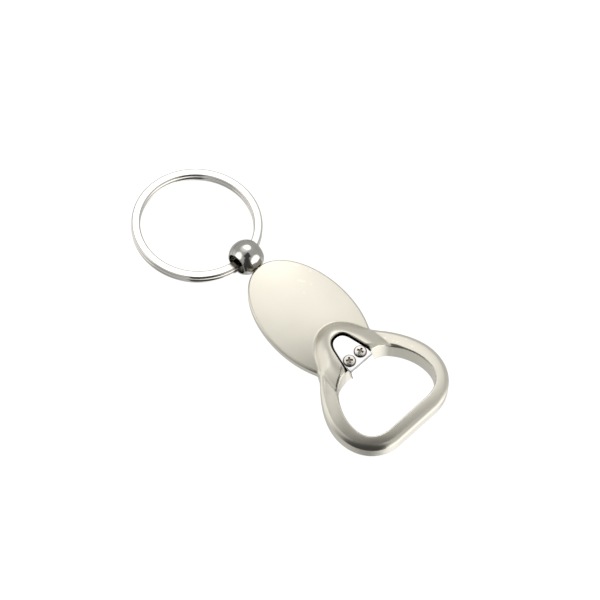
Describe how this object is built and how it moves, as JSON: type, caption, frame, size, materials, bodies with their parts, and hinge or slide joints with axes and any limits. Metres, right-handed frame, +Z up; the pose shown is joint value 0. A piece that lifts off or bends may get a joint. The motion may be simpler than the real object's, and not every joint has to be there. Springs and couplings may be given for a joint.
{
  "type": "keychain bottle opener",
  "caption": "Keychain bottle opener: cast oval handle with a rounded cap-opening loop, a screwed-in steel lifter plate, a swivel ball and a flat split ring.",
  "frame": {"origin": "on the surface that the opener lies on, under the middle of its bounding box", "axes": "+X from the split ring towards the cap-opening loop, +Y across the handle, +Z up out of the arched face"},
  "size_m": [0.0846, 0.0324, 0.0083],
  "materials": {
    "satin_nickel": "satin pearl nickel plating on a zinc casting",
    "polished_steel": "polished bare steel",
    "screw_steel": "nickel-plated steel, semi-bright",
    "mirror_nickel": "mirror-bright nickel plating",
    "black_nickel": "mirror-bright dark nickel plating"
  },
  "bodies": {
    "handle": {"body_casting": "satin_nickel", "lifter_plate": "polished_steel", "screw_left": "screw_steel", "screw_right": "screw_steel", "swivel_pin": "screw_steel"},
    "ball": {"swivel_ball": "black_nickel"},
    "ring": {"split_ring": "mirror_nickel"}
  },
  "joints": [
    {"name": "ball_swivel", "type": "hinge", "parent": "handle", "child": "ball", "pos_m": [-0.01357, 0.00143, 0.00405], "axis": [1, 0, 0], "continuous": true},
    {"name": "ring_swing", "type": "hinge", "parent": "ball", "child": "ring", "pos_m": [-0.01357, 0.00143, 0.00405], "axis": [0, 0.9903, -0.1392], "range_deg": [-150, 150]}
  ]
}
